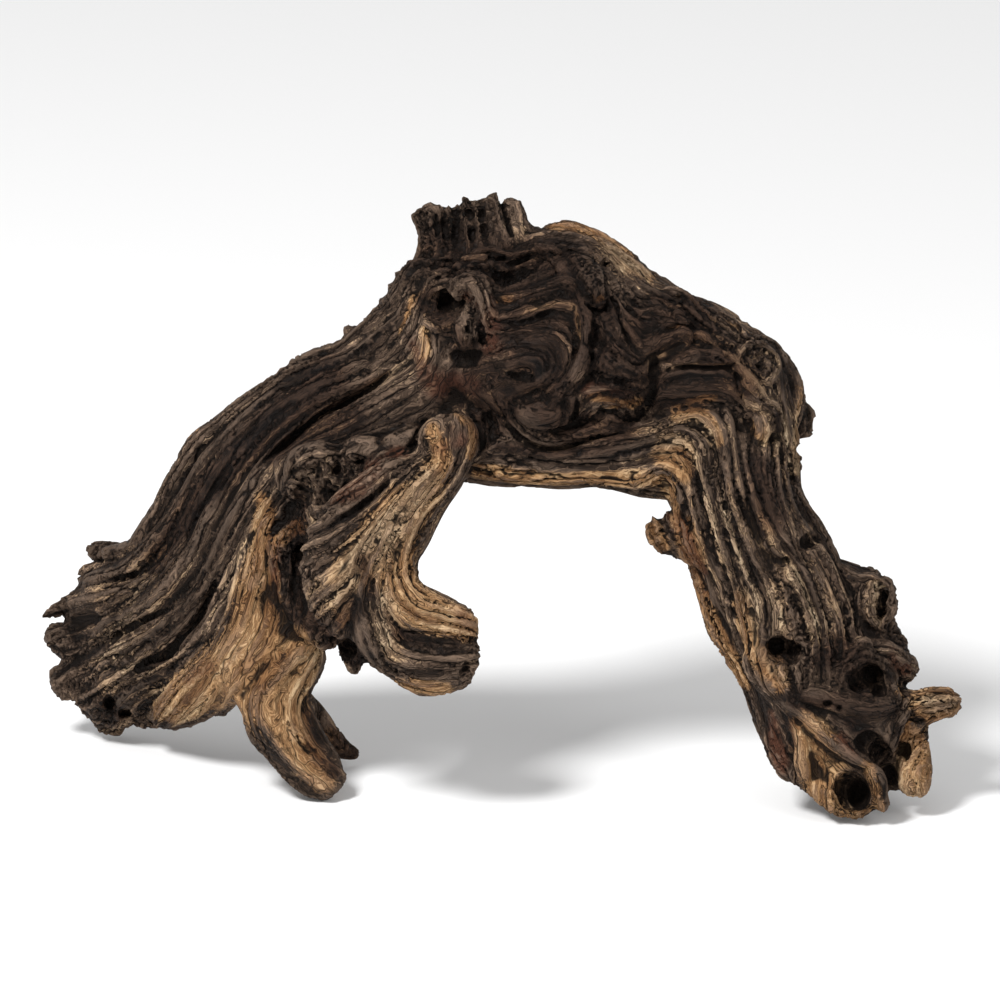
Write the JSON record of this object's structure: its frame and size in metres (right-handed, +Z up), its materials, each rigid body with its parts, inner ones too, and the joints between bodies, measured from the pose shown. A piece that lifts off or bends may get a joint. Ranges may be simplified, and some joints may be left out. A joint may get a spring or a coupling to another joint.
{
  "type": "mopani driftwood",
  "caption": "Weathered mopani root, a dark ridged arch with a knotted crown, broken stubs and splayed root feet, standing free as natural decor.",
  "frame": {"origin": "centre of the bounding box, at the height of the floor that the feet stand on", "axes": "+X runs along the arch towards the foot with the knots, -Y faces the picture's viewer, +Z is up"},
  "size_m": [0.3518, 0.1354, 0.2238],
  "materials": {
    "weathered_wood": "matte weathered wood, dark umber ridges with golden tan heartwood at the feet, the stub and the arch's underside"
  },
  "bodies": {
    "root": {"driftwood": "weathered_wood"}
  },
  "joints": []
}
